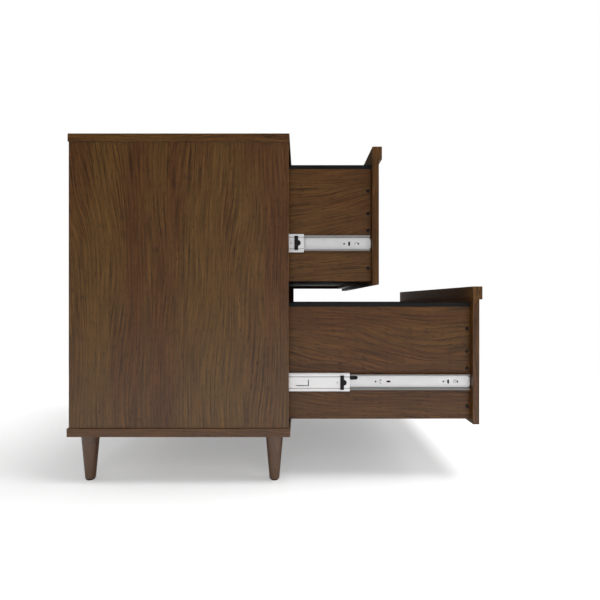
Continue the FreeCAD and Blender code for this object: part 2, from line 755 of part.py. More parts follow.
def build_drawer_runners(drawer):
    body = profile_member(f"{drawer}_left_drawer_runner", drawer_half_profile(), slide_length)
    wall = d.slide_thickness
    half_straight, radius = (d.slot_length - d.slot_width) / 2, d.slot_width / 2
    slots = [slot(step + d.flat_slot_at, zero, half_straight, radius) for step in hole_sets()]
    slots += [slot(step + d.tall_slot_at, zero, half_straight, radius, True) for step in hole_sets()]
    mill(body, "slots", "YZ_Plane", slots, d.sheet_thickness, offset=wall)
    holes = [(step + d.round_hole_at, zero) for step in hole_sets()]
    drill(body, "round_holes", "YZ_Plane", holes, d.round_hole_diameter, d.sheet_thickness, offset=wall)
    edge, shoulder = d.inner_ball_up + 1, d.inner_ball_up - outer_race - d.sheet_bend
    notches = []
    for side in (-1, 1):
        notches.append([(zero, side * (shoulder - d.rail_nose_chamfer)), (d.rail_nose, side * shoulder),
                        (d.rail_nose, side * edge), (zero, side * edge)])
    mill(body, "nose_notches", "YZ_Plane", notches, wall, offset=wall)
    pin = new_sketch(body, "lever_pin_outline", "YZ_Plane", wall - d.sheet_thickness)
    circles(pin, [(d.lever_at + d.lever_length, d.lever_up)], d.lever_pin_diameter)
    sweep(body, "Pad", "lever_pin", pin, d.lever_thickness + 2 * d.lever_gap, True)
    drawn = rail_front - first_stage[drawer] - second_stage[drawer]
    place(body, -side_inner, drawn, slide_level(drawer))
    keep(body, right_hand(body, f"{drawer}_right_drawer_runner"))


def build_release_levers(drawer):
    body = new_body(f"{drawer}_left_release_lever")
    half, hub = d.lever_height / 2, d.lever_tail_diameter / 2
    tip, pivot = d.lever_at, d.lever_at + d.lever_length
    level = d.lever_up
    outline = [(tip, level), (tip + half, level - half, half, 1), (tip + d.lever_length / 2, level - half),
               (pivot, level - hub), (pivot + hub, level, hub, 1), (pivot, level + hub, hub, 1),
               (tip + d.lever_length / 2, level + half), (tip + half, level + half)]
    outline[0] = (tip, level, half, 1)
    face = d.slide_thickness - d.sheet_thickness - d.lever_gap
    pad(body, "blade", "YZ_Plane", [outline], d.lever_thickness, offset=face, reverse=True)
    bore = d.lever_pin_diameter + 2 * d.fastener_fit
    drill(body, "pivot_hole", "YZ_Plane", [(pivot, level)], bore, d.lever_thickness, offset=face)
    drawn = rail_front - first_stage[drawer] - second_stage[drawer]
    place(body, -side_inner, drawn, slide_level(drawer))
    keep(body, right_hand(body, f"{drawer}_right_release_lever"))


# Drawers

box_screw_levels = [d.box_screw_first, d.box_screw_second,
                    box_height - d.box_screw_third_drop, box_height - d.box_screw_fourth_drop]
back_screw_levels = [box_height * share for share in (0.2, 0.5, 0.8)]
bottom_groove_width = d.bottom_thickness + 2 * d.panel_fit


def drawn_face(drawer):
    return closed_face - first_stage[drawer] - second_stage[drawer]


def build_front(drawer):
    half, panel_height = front_half_width, front_height - d.pull_height
    face, low = drawn_face(drawer), front_bottom[drawer]
    board = panel(f"{drawer}_front_panel", 2 * half, d.front_thickness, panel_height)
    middle = d.front_thickness / 2
    groove_half = d.pull_tongue_width / 2 + d.panel_fit
    groove = rectangle(zero, middle - groove_half, 2 * half, middle + groove_half)
    depth = d.pull_tongue_height + d.panel_fit
    mill(board, "pull_groove", "XY_Plane", [groove], depth, offset=panel_height)
    pilots = [(half + side * d.front_screw_spread, d.box_rise + level)
              for side in (-1, 1) for level in (d.front_screw_low, d.front_screw_high)]
    bore, bite = d.pan_screw_diameter + 2 * d.fastener_fit, d.pan_screw_bite + 1
    drill(board, "screw_pilots", "XZ_Plane", pilots, bore, bite, offset=-d.front_thickness, reverse=True)
    keep(place(board, -half, face - d.front_thickness, low))

    pull = new_body(f"{drawer}_front_pull")
    rail = pad(pull, "rail", "YZ_Plane", [rectangle(-d.pull_depth, zero, zero, d.pull_height)], 2 * half)
    ease(pull, rail)
    tongue_half = d.pull_tongue_width / 2
    tongue = rectangle(-middle - tongue_half, -d.pull_tongue_height, -middle + tongue_half, d.edge_ease)
    pad(pull, "tongue", "YZ_Plane", [tongue], 2 * half - 2 * d.edge_ease, offset=d.edge_ease)
    keep(place(pull, -half, face, low + panel_height))


def build_box(drawer):
    face, low = drawn_face(drawer), front_bottom[drawer] + d.box_rise
    screw_bore = d.box_screw_diameter + 2 * d.fastener_fit
    head_bore = d.box_screw_head_diameter + 2 * d.fastener_fit
    front_line, back_line = d.box_front_thickness / 2, box_depth - d.box_back_thickness / 2
    screws = [(front_line, level) for level in box_screw_levels]
    screws += [(back_line, level) for level in back_screw_levels]

    side = panel(f"{drawer}_left_box_side", d.box_side_thickness, box_depth, box_height)
    wall = d.box_side_thickness
    low_groove = d.bottom_rise - d.panel_fit
    channel = rectangle(wall - d.bottom_groove, low_groove, wall, low_groove + bottom_groove_width)
    mill(side, "bottom_groove", "XZ_Plane", [channel], box_depth)
    tongue_half = d.file_rail_tongue_width / 2 + d.fastener_fit
    seat = rectangle(wall / 2 - tongue_half, zero, wall / 2 + tongue_half, box_depth)
    seat_depth = d.file_rail_tongue_height + d.fastener_fit
    mill(side, "file_rail_groove", "XY_Plane", [seat], seat_depth, offset=box_height)
    drill(side, "screw_holes", "YZ_Plane", screws, screw_bore, wall, reverse=True)
    drill(side, "screw_sinks", "YZ_Plane", screws, head_bore, d.box_screw_head_height, reverse=True)
    pilots = [(d.slide_setback + step, d.slide_rise) for step in drawer_screw_steps()]
    pilot = d.pan_screw_diameter + 2 * d.fastener_fit
    drill(side, "runner_pilots", "YZ_Plane", pilots, pilot, d.pan_screw_bite + 1, reverse=True)
    place(side, -box_outer, face, low)
    keep(side, right_hand(side, f"{drawer}_right_box_side"))

    ends = {"front": (d.box_front_thickness, face, box_screw_levels),
            "back": (d.box_back_thickness, face + box_depth - d.box_back_thickness, back_screw_levels)}
    for name, (thickness, along, levels) in ends.items():
        board = panel(f"{drawer}_box_{name}", 2 * box_inner, thickness, box_height)
        trench_start = thickness - d.bottom_groove if name == "front" else zero
        trench = rectangle(trench_start, low_groove, trench_start + d.bottom_groove,
                           low_groove + bottom_groove_width)
        mill(board, "bottom_groove", "YZ_Plane", [trench], 2 * box_inner, reverse=True)
        notch_half = d.file_bar_width / 2 + d.panel_fit
        notch = rectangle(box_inner - notch_half, box_height + d.file_rail_height - d.file_bar_height,
                          box_inner + notch_half, box_height)
        mill(board, "file_bar_notch", "XZ_Plane", [notch], thickness)
        holes = [(thickness / 2, level) for level in levels]
        reach = d.box_screw_length - d.box_side_thickness + d.box_screw_head_height + 1
        drill(board, "left_screw_holes", "YZ_Plane", holes, screw_bore, reach, reverse=True)
        drill(board, "right_screw_holes", "YZ_Plane", holes, screw_bore, reach, offset=2 * box_inner)
        if name == "front":
            passing = [(box_inner + side * d.front_screw_spread, level)
                       for side in (-1, 1) for level in (d.front_screw_low, d.front_screw_high)]
            bore = d.pan_screw_diameter + 2 * d.fastener_fit
            drill(board, "front_screw_holes", "XZ_Plane", passing, bore, thickness)
        keep(place(board, -box_inner, along, low))

    tuck = d.bottom_groove - d.panel_fit
    half = box_inner + tuck
    run = box_depth - d.box_front_thickness - d.box_back_thickness + 2 * tuck
    bottom = panel(f"{drawer}_box_bottom", 2 * half, run, d.bottom_thickness, eased=False)
    keep(place(bottom, -half, face + d.box_front_thickness - tuck, low + d.bottom_rise))


def build_file_hardware(drawer):
    face, low = drawn_face(drawer), front_bottom[drawer] + d.box_rise
    rail = new_body(f"{drawer}_left_file_rail")
    wall, half_tongue = d.box_side_thickness, d.file_rail_tongue_width / 2
    tongue_out, tongue_in = wall / 2 - half_tongue, wall / 2 + half_tongue
    tongue_tip = -d.file_rail_tongue_height
    rib, foot, crest = d.file_rail_rib, d.file_rail_foot, d.file_rail_height
    profile = [(zero, zero), (tongue_out, zero), (tongue_out, tongue_tip), (tongue_in, tongue_tip),
               (tongue_in, zero), (wall, zero), (wall, foot), (rib, foot), (rib, crest), (zero, crest)]
    pad(rail, "extrusion", "XZ_Plane", [profile], box_depth, reverse=True)
    place(rail, -box_outer, face, low + box_height)
    keep(group(f"{drawer}_file_rails", [rail, right_hand(rail, f"{drawer}_right_file_rail")]))

    bar = new_body(f"{drawer}_file_bar")
    half, sheet_t, tall = d.file_bar_width / 2, d.file_bar_sheet, d.file_bar_height
    channel = [(-half, zero), (half, zero), (half, tall), (half - sheet_t, tall), (half - sheet_t, sheet_t),
               (sheet_t - half, sheet_t), (sheet_t - half, tall), (-half, tall)]
    pad(bar, "channel", "XZ_Plane", [channel], box_depth - 2 * d.file_bar_end_gap, reverse=True)
    seat = low + box_height + d.file_rail_height - d.file_bar_height
    keep(place(bar, zero, face + d.file_bar_end_gap, seat))


def build_drawer_screws(drawer, box_screw, pan_screw, front_screw):
    face, low = drawn_face(drawer), front_bottom[drawer] + d.box_rise
    inward = FreeCAD.Rotation(FreeCAD.Vector(0, 1, 0), 90)
    forward = FreeCAD.Rotation(FreeCAD.Vector(1, 0, 0), 90)
    front_line, back_line = d.box_front_thickness / 2, box_depth - d.box_back_thickness / 2
    seat = d.box_screw_head_height - box_outer
    places = [(seat, face + front_line, low + level) for level in box_screw_levels]
    places += [(seat, face + back_line, low + level) for level in back_screw_levels]
    left = group(f"{drawer}_left_box_screws", copies(box_screw, places, inward))
    keep(group(f"{drawer}_box_screws", [left, right_hand(left, f"{drawer}_right_box_screws")]))
    web = -box_outer - d.sheet_thickness
    places = [(web, face + d.slide_setback + step, low + d.slide_rise) for step in drawer_screw_steps()]
    left = group(f"{drawer}_left_runner_screws", copies(pan_screw, places, inward))
    inside = face + d.box_front_thickness
    places = [(side * d.front_screw_spread, inside, low + level)
              for side in (-1, 1) for level in (d.front_screw_low, d.front_screw_high)]
    right = right_hand(left, f"{drawer}_right_runner_screws")
    keep(group(f"{drawer}_fixing_screws", [left, right] + copies(front_screw, places, forward)))


build_top_panel()
build_base_panel()
build_side_panel()
build_back_panel()
build_cam_fittings()
build_legs()
build_leg_hardware()

flat_screw = build_flat_screw()
box_screw = build_screw("box_screw", d.box_screw_head_diameter, d.box_screw_head_height,
                        d.box_screw_diameter, d.box_screw_length)
pan_screw = build_screw("pan_screw", d.pan_head_diameter, d.pan_head_height,
                        d.pan_screw_diameter, d.sheet_thickness + d.pan_screw_bite)
front_screw = build_screw("front_screw", d.pan_head_diameter, d.pan_head_height,
                          d.pan_screw_diameter, d.box_front_thickness + d.pan_screw_bite)
ball = doc.addObject("Part::Sphere", "slide_ball")
ball.setExpression("Radius", (d.ball_diameter / 2).text)

build_cabinet_runner_screws(flat_screw)
for drawer in ("upper", "lower"):
    build_cabinet_runners(drawer)
    build_middle_runners(drawer)
    build_bumpers(drawer)
    build_ball_cages(drawer, ball)
    build_drawer_runners(drawer)
    build_release_levers(drawer)
    build_front(drawer)
    build_box(drawer)
    build_file_hardware(drawer)
    build_drawer_screws(drawer, box_screw, pan_screw, front_screw)

doc.recompute()

for item in doc.Objects:
    if "Invalid" in item.State or "Error" in item.State:
        raise RuntimeError(f"{item.Label} did not compute")
for node in nodes:
    if node.Shape.isNull() or not node.Shape.isValid():
        raise RuntimeError(f"{node.Label} has no valid shape")

os.makedirs("parts", exist_ok=True)
for node in nodes:
    node.Shape.exportStep(f"parts/{node.Label}.step")
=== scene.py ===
import math
import bpy
from mathutils import Matrix, Vector


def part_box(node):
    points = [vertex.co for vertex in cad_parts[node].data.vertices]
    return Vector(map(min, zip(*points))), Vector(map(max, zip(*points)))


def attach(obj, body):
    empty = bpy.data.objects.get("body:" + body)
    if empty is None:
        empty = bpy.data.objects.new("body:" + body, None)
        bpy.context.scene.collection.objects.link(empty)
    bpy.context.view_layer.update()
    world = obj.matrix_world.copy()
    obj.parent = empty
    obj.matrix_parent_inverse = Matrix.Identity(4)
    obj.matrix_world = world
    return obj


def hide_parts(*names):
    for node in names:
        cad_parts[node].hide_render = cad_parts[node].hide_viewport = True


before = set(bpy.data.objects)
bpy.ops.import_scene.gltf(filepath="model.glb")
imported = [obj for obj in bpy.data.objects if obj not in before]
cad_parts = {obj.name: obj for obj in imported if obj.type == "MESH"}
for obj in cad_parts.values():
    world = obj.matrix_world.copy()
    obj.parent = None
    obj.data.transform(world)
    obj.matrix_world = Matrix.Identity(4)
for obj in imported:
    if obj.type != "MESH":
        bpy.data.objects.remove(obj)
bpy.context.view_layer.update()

print("frame loaded:", len(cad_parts), "nodes")


# a socket that can be written into sums, so shader maths reads as maths
class Wire:
    def __init__(self, tree, socket):
        self.tree = tree
        self.socket = socket

    def feed(self, target, value):
        if isinstance(value, Wire):
            self.tree.links.new(value.socket, target)
        else:
            target.default_value = value

    # any node: its settings first, then its sockets by name or number
    def node(self, kind, settings, sockets, out=0):
        made = self.tree.nodes.new(kind)
        for key, value in settings.items():
            setattr(made, key, value)
        for key, value in sockets.items():
            self.feed(made.inputs[key], value)
        return Wire(self.tree, made.outputs[out])

    def maths(self, operation, *others):
        sockets = dict(enumerate((self,) + others))
        return self.node("ShaderNodeMath", {"operation": operation}, sockets)

    def clamp(self):
        return self.node("ShaderNodeClamp", {}, {"Value": self})

    def ramp(self, low, high, toLow=0.0, toHigh=1.0):
        sockets = {"Value": self, "From Min": low, "From Max": high, "To Min": toLow, "To Max": toHigh}
        return self.node("ShaderNodeMapRange", {"interpolation_type": "SMOOTHSTEP"}, sockets)

    def split(self):
        made = self.tree.nodes.new("ShaderNodeSeparateXYZ")
        self.feed(made.inputs[0], self)
        return [Wire(self.tree, socket) for socket in made.outputs]

    def join(self, second, third):
        return self.node("ShaderNodeCombineXYZ", {}, {0: self, 1: second, 2: third})

    def stretch(self, amounts):
        return self.node("ShaderNodeVectorMath", {"operation": "MULTIPLY"}, {0: self, 1: amounts})

    def shift(self, amounts):
        return self.node("ShaderNodeVectorMath", {"operation": "ADD"}, {0: self, 1: amounts})

    def scaled(self, amount):
        return self.node("ShaderNodeVectorMath", {"operation": "SCALE"}, {0: self, "Scale": amount})

    def noise(self, scale, detail=2.0, rough=0.5):
        sockets = {"Vector": self, "Scale": scale, "Detail": detail, "Roughness": rough}
        return self.node("ShaderNodeTexNoise", {}, sockets)

    # self runs from the first colour at 0 to the second at 1
    def blend(self, low, high):
        return self.node("ShaderNodeMix", {"data_type": "RGBA"}, {0: self, 6: low, 7: high}, 2)

    def __add__(self, other):
        return self.maths("ADD", other)

    def __sub__(self, other):
        return self.maths("SUBTRACT", other)

    def __rsub__(self, other):
        return (self * -1.0) + other

    def __mul__(self, other):
        return self.maths("MULTIPLY", other)

    def __pow__(self, other):
        return self.maths("POWER", other)

    __radd__ = __add__


# colours are written as seen on screen, 0 to 255
def screen(red, green, blue):
    def straight(part):
        part = part / 255
        return part / 12.92 if part <= 0.04045 else ((part + 0.055) / 1.055) ** 2.4
    return (straight(red), straight(green), straight(blue), 1.0)


def newMaterial(name):
    material = bpy.data.materials.new(name)
    material.use_nodes = True
    tree = material.node_tree
    coords = tree.nodes.new("ShaderNodeTexCoord")
    return material, tree.nodes["Principled BSDF"], Wire(tree, coords.outputs["Object"])


def finishMaterial(shader, colour, roughness, height, strength, distance):
    bump = height.node("ShaderNodeBump", {}, {"Height": height, "Strength": strength, "Distance": distance})
    colour.feed(shader.inputs["Base Color"], colour)
    roughness.feed(shader.inputs["Roughness"], roughness)
    bump.feed(shader.inputs["Normal"], bump)


# dark walnut laminate with open grain: lengths in metres, noise scales across and along the grain, and as
# Levels the noise at which a pattern starts and at which it is full
woodLook = {
    "red": screen(78, 46, 16),
    "olive": screen(80, 54, 19),
    "worn": screen(112, 84, 58),
    "glue": screen(40, 26, 15),
    # painted shade for the strip behind each runner
    "slotShade": screen(14, 12, 10),
    "figure": (3.6, 1.2),
    "ripple": (26.0, 6.0),
    "tint": (13.0, 1.3),
    "streak": (460.0, 9.0),
    "pore": (820.0, 55.0),
    "slope": 0.83,  # how much the second way across counts beside the first
    "rippleBend": 0.004,
    "ringsPerMetre": 115.0,
    "ringPower": 4.0,
    "ringMean": 0.15,
    "ringLevels": (0.35, 0.6),
    "ringShade": 0.55,
    "streakShade": 3.3,
    "tintLevels": (0.36, 0.64),
    "tintShade": 0.7,
    "poreLevels": (0.56, 0.74),
    "poreShade": 0.72,
    "roughness": 0.36,
    "streakRough": 0.16,
    "poreRough": 0.10,
    "streakHeight": 0.5,
    "ringHeight": 0.3,
    "bump": 0.00008,
    "bumpStrength": 0.35,
    "edgeWidth": 0.0014,
    "glueWidth": 0.0004,
    "glueShade": 0.45,
    "edgeSpots": 70.0,
    "edgeLevels": (0.40, 0.72),
    "footSpots": 90.0,
    "footLevels": (0.4, 0.7),
    "footWorn": 0.02,
    "wornShade": 0.5,
    "wornPolish": 0.08,
    "endFacing": 0.7,  # a face is an end where its normal has more than this along X
    "stripHalfHeight": 0.008,
    "stripEndGap": 0.006,
}


# where in the tree the boards on the left are cut from; the others follow their number
boardPlaces = {
    "left_side_panel": (36.73, 29.33, 83.9),
    "upper_left_box_side": (36.85, 108.21, 42.46),
    "lower_left_box_side": (101.72, 29.83, 88.52),
}
boardSteps = {"first": 1.7, "next": 2.3, "shares": (1.0, 0.61, 1.37)}


# the two ways across the grain, then the way along it
def grainFrame(spot, axis):
    x, y, z = spot.split()
    return {"X": (y, z, x), "Y": (x, z, y), "Z": (x, y, z)}[axis]


# 1 within a width of the panel's edges, on every face
def edgeMask(spot, box, width):
    near = []
    for part, low, high in zip(spot.split(), *box):
        gap = (part - low).maths("MINIMUM", high - part)
        near.append(1.0 - gap.ramp(0.0, width))
    pairs = [near[0] * near[1], near[1] * near[2], near[0] * near[2]]
    return pairs[0].maths("MAXIMUM", pairs[1]).maths("MAXIMUM", pairs[2])


# 1 on the strip of a box side that its runner covers, painted near-black as the shade that shows through the
# runner's slots
def runnerShadeStrip(spot, nodeName, look):
    low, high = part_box(nodeName.replace("box_side", "drawer_runner"))
    y, z = spot.split()[1:]
    offLevel = (z - (low[2] + high[2]) / 2).maths("ABSOLUTE")
    offMiddle = (y - (low[1] + high[1]) / 2).maths("ABSOLUTE")
    halfLength = (high[1] - low[1]) / 2 - look["stripEndGap"]
    return offLevel.maths("LESS_THAN", look["stripHalfHeight"]) * offMiddle.maths("LESS_THAN", halfLength)


# noise drawn out along the grain
def slowNoise(body, scales):
    across, along = scales
    return body.stretch((across, across, along)).noise(1.0)


# streaks, pores, rings and the slow change of tint on one board
def boardPattern(moved, grain, look):
    one, two, along = grainFrame(moved, grain["along"])
    if grain["ends"]:
        facing = moved.node("ShaderNodeTexCoord", {}, {}, "Normal")
        onEnd = facing.split()[0].maths("ABSOLUTE").maths("GREATER_THAN", look["endFacing"])
        ends = grainFrame(moved, grain["ends"])
        one, two, along = [face + (end - face) * onEnd for face, end in zip((one, two, along), ends)]
    body = one.join(two, along)
    figure, ripple, tint = [slowNoise(body, look[name]) for name in ("figure", "ripple", "tint")]
    across = one + two * look["slope"] + (figure - 0.5) * grain["bend"] + (ripple - 0.5) * look["rippleBend"]
    fine = [(across * look[name][0]).join(0.0, along * look[name][1]) for name in ("streak", "pore")]
    streak = fine[0].noise(1.0, detail=3.0, rough=0.6)
    pores = fine[1].noise(1.0, detail=1.0).ramp(*look["poreLevels"])
    ring = (across * look["ringsPerMetre"]).maths("FRACT") ** look["ringPower"]
    return streak, pores, ring * ripple.ramp(*look["ringLevels"]), tint


def woodMaterial(nodeName, grain, seed, look=woodLook):
    material, shader, spot = newMaterial(nodeName + "_walnut")
    moved = spot.shift(boardPlaces.get(nodeName, [seed * share for share in boardSteps["shares"]]))
    streak, pores, ring, tint = boardPattern(moved, grain, look)
    shade = ((streak - 0.5) * look["streakShade"] + (tint - 0.5) * look["tintShade"]
             - (ring - look["ringMean"]) * look["ringShade"]) * grain["contrast"] + 1.0
    shade = shade * (1.0 - pores * (look["poreShade"] * grain["contrast"])) * grain["tone"]
    olive = tint.ramp(*look["tintLevels"]) * grain["olive"]
    colour = olive.blend(look["red"], look["olive"]).scaled(shade)
    roughness = look["roughness"] + (streak - 0.5) * look["streakRough"] + pores * look["poreRough"]
    height = streak * look["streakHeight"] - pores - ring * look["ringHeight"]
    if nodeName.endswith("leg"):
        nearFloor = spot.split()[2].ramp(0.0, look["footWorn"], 1.0, 0.0)
        worn = nearFloor * moved.noise(look["footSpots"]).ramp(*look["footLevels"])
    else:
        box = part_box(nodeName)
        edge = edgeMask(spot, box, look["edgeWidth"])
        glue = (edgeMask(spot, box, look["edgeWidth"] + look["glueWidth"]) - edge).clamp()
        worn = edge * moved.noise(look["edgeSpots"], detail=3.0).ramp(*look["edgeLevels"])
        colour = (glue * look["glueShade"]).blend(colour, look["glue"])
    colour = (worn * look["wornShade"]).blend(colour, look["worn"])
    # painted shade: the strip behind the runner is near-black, so its slots look deep
    if nodeName.endswith("box_side"):
        colour = runnerShadeStrip(spot, nodeName, look).blend(colour, look["slotShade"])
    roughness = roughness - worn * look["wornPolish"]
    finishMaterial(shader, colour, roughness, height, look["bumpStrength"], look["bump"])
    shader.inputs["Specular IOR Level"].default_value = grain["gloss"]
    return material


# bright zinc on rolled sheet: faint drawing lines along the slide, cloudy plating, and painted shade along
# the bends and lips where the runners fall dark
zincLook = {
    "bright": screen(226, 225, 225),
    "dull": screen(217, 216, 217),
    # painted shade for the runners' bends and lips
    "paintedShade": screen(120, 119, 117),
    "shadeFade": 0.0003,
    "metal": 0.3,
    "roughness": 0.24,
    "cloudRough": 0.08,
    "lineRough": 0.08,
    "cloudScale": 38.0,
    "cloudShade": 0.6,
    "lineAcross": 1500.0,
    "lineAlong": 9.0,
    "lineShade": 0.5,
    "platingLevels": (0.3, 0.8),
    "bump": 0.00003,
    "bumpStrength": 0.25,
}

# how far up and down from its middle a runner gets painted shade: from, to, amount
shadedBands = {"middle_runner": (0.0122, 0.0140, 0.8), "drawer_runner": (0.0132, 0.0300, 0.9)}


# 1 on the band of a runner that gets painted shade
def paintedShadeBand(spot, nodeName, start, stop, fade):
    low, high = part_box(nodeName)
    offLevel = (spot.split()[2] - (low[2] + high[2]) / 2).maths("ABSOLUTE")
    return offLevel.ramp(start - fade, start + fade) * offLevel.ramp(stop - fade, stop + fade, 1.0, 0.0)


def zincMaterial(name, nodeName="", look=zincLook):
    material, shader, spot = newMaterial(name)
    cloud = spot.noise(look["cloudScale"], detail=4.0, rough=0.6)
    lines = spot.stretch((look["lineAcross"], look["lineAlong"], look["lineAcross"])).noise(1.0)
    plating = (cloud * look["cloudShade"] + lines * look["lineShade"]).ramp(*look["platingLevels"])
    colour = plating.blend(look["dull"], look["bright"])
    # painted shade: a darker band along each runner's bend and lips
    for ending, (start, stop, amount) in shadedBands.items():
        if nodeName.endswith(ending):
            band = paintedShadeBand(spot, nodeName, start, stop, look["shadeFade"])
            colour = (band * amount).blend(colour, look["paintedShade"])
    roughness = cloud * look["cloudRough"] + lines * look["lineRough"] + look["roughness"]
    finishMaterial(shader, colour, roughness, lines, look["bumpStrength"], look["bump"])
    shader.inputs["Metallic"].default_value = look["metal"]
    return material


# black parts: moulded plastic, painted steel and faced board differ in gloss and grain
blackLook = {
    "black_plastic": {"dark": screen(12, 12, 12), "pale": screen(24, 24, 24), "roughness": 0.37,
                      "grain": 1400.0, "bump": 0.00006, "gloss": 0.25},
    "black_steel": {"dark": screen(14, 14, 15), "pale": screen(30, 29, 29), "roughness": 0.29,
                    "grain": 700.0, "bump": 0.00003, "gloss": 0.4},
    "black_board": {"dark": screen(9, 8, 7), "pale": screen(18, 17, 15), "roughness": 0.49,
                    "grain": 420.0, "bump": 0.00008, "gloss": 0.22},
}
blackGrain = {"patchScale": 14.0, "grainShade": 0.5, "patchShade": 0.6, "mottleLevels": (0.3, 0.8),
              "grainRough": 0.14, "patchRough": 0.12, "bumpStrength": 0.3}


def blackMaterial(name, shared=blackGrain):
    look = blackLook[name]
    material, shader, spot = newMaterial(name)
    grain = spot.noise(look["grain"], rough=0.6)
    patches = spot.noise(shared["patchScale"], detail=3.0, rough=0.55)
    mottle = (grain * shared["grainShade"] + patches * shared["patchShade"]).ramp(*shared["mottleLevels"])
    roughness = grain * shared["grainRough"] + patches * shared["patchRough"] + look["roughness"]
    colour = mottle.blend(look["dark"], look["pale"])
    finishMaterial(shader, colour, roughness, grain, shared["bumpStrength"], look["bump"])
    shader.inputs["Specular IOR Level"].default_value = look["gloss"]
    return material


print("making materials")
plain = {"zinc_steel": zincMaterial("zinc_steel")}
for name in blackLook:
    plain[name] = blackMaterial(name)

# how the grain runs on the faces and on the left and right ends of each kind of panel, how far it bends and
# how strong it is, the share of olive in its tint, and the panel's tone and gloss
grains = {
    "side_panel": {"along": "Z", "ends": None, "bend": 0.16, "contrast": 1.0,
                   "olive": 1.0, "tone": 0.98, "gloss": 0.50},
    "top_panel": {"along": "X", "ends": "Y", "bend": 0.13, "contrast": 1.0,
                  "olive": 1.0, "tone": 0.97, "gloss": 0.42},
    "base_panel": {"along": "X", "ends": "Y", "bend": 0.12, "contrast": 0.8,
                   "olive": 0.8, "tone": 1.0, "gloss": 0.52},
    "back_panel": {"along": "Z", "ends": None, "bend": 0.13, "contrast": 1.0,
                   "olive": 1.0, "tone": 0.85, "gloss": 0.42},
    "_leg": {"along": "Z", "ends": None, "bend": 0.08, "contrast": 0.4,
             "olive": 0.4, "tone": 1.0, "gloss": 0.80},
    "upper_front_panel": {"along": "X", "ends": "Z", "bend": 0.13, "contrast": 1.0,
                          "olive": 0.7, "tone": 0.81, "gloss": 0.28},
    "lower_front_panel": {"along": "X", "ends": "Z", "bend": 0.13, "contrast": 1.0,
                          "olive": 0.8, "tone": 0.95, "gloss": 0.46},
    "front_pull": {"along": "X", "ends": "Z", "bend": 0.12, "contrast": 1.0,
                   "olive": 0.8, "tone": 0.97, "gloss": 0.40},
    "box_side": {"along": "Y", "ends": None, "bend": 0.26, "contrast": 1.0,
                 "olive": 0.6, "tone": 0.98, "gloss": 0.38},
    "box_front": {"along": "X", "ends": "Z", "bend": 0.12, "contrast": 1.0,
                  "olive": 0.8, "tone": 0.95, "gloss": 0.34},
    "box_back": {"along": "X", "ends": "Z", "bend": 0.12, "contrast": 1.0,
                 "olive": 0.8, "tone": 0.95, "gloss": 0.34},
}
darkParts = {
    "box_bottom": "black_board",
    "file_rails": "black_plastic",
    "file_bar": "black_steel",
    "box_screws": "black_steel",
    "bumpers": "black_plastic",
    "lever": "black_plastic",
    "glides": "black_plastic",
}


def materialFor(nodeName, seed):
    for ending, grain in grains.items():
        if nodeName.endswith(ending):
            return woodMaterial(nodeName, grain, seed)
    for ending, name in darkParts.items():
        if nodeName.endswith(ending):
            return plain[name]
    if nodeName.endswith("_runner"):
        return zincMaterial(nodeName + "_zinc", nodeName)
    return plain["zinc_steel"]


for count, (nodeName, nodeObject) in enumerate(sorted(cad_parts.items())):
    nodeObject.data.materials.clear()
    seed = boardSteps["first"] + count * boardSteps["next"]
    nodeObject.data.materials.append(materialFor(nodeName, seed))
print("materials on", len(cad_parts), "nodes")


# cross-head screws, head down at the origin and shank upwards; lengths in metres
screwLook = {
    "box": {"head": 0.0040, "height": 0.0025, "core": 0.0017, "crest": 0.0023, "length": 0.0360,
            "pitch": 0.0022, "finish": "black_steel"},
    "runner": {"head": 0.0038, "height": 0.0022, "core": 0.0014, "crest": 0.0020, "length": 0.0103,
               "pitch": 0.0016, "finish": "zinc_steel"},
    "front": {"head": 0.0038, "height": 0.0022, "core": 0.0014, "crest": 0.0020, "length": 0.0240,
              "pitch": 0.0016, "finish": "zinc_steel"},
}

# shares of the head's height and radius and of the shank's length, how far each step narrows, numbers of
# sides, and turns in radians
screwShape = {
    "rim": 0.4, "dome": 0.35, "domeNarrow": 0.86, "crown": 0.25, "crownNarrow": 0.70, "headSides": 28,
    "shank": 0.85, "point": 0.15, "pointNarrow": 0.12,
    "threaded": 0.82, "threadSides": 14, "threadCorners": 4,
    "crossArm": 0.60, "crossWidth": 0.17, "crossDepth": 0.72, "crossTaper": 0.6,
    "flatFacing": 0.9, "smoothDegrees": 35, "firstTurn": 0.4, "nextTurn": 0.7,
}


def pickFaces(piece, wanted):
    bpy.ops.object.mode_set(mode="EDIT")
    bpy.ops.mesh.select_mode(type="FACE")
    bpy.ops.mesh.select_all(action="DESELECT")
    bpy.ops.object.mode_set(mode="OBJECT")
    for face in piece.data.polygons:
        face.select = wanted(face)
    bpy.ops.object.mode_set(mode="EDIT")


def pickOnly(*pieces):
    bpy.ops.object.select_all(action="DESELECT")
    for piece in pieces:
        piece.select_set(True)
    bpy.context.view_layer.objects.active = pieces[0]


def pullFace(distance, narrow):
    bpy.ops.mesh.extrude_region_move(TRANSFORM_OT_translate={"value": (0, 0, distance)})
    bpy.ops.transform.resize(value=(narrow, narrow, 1))


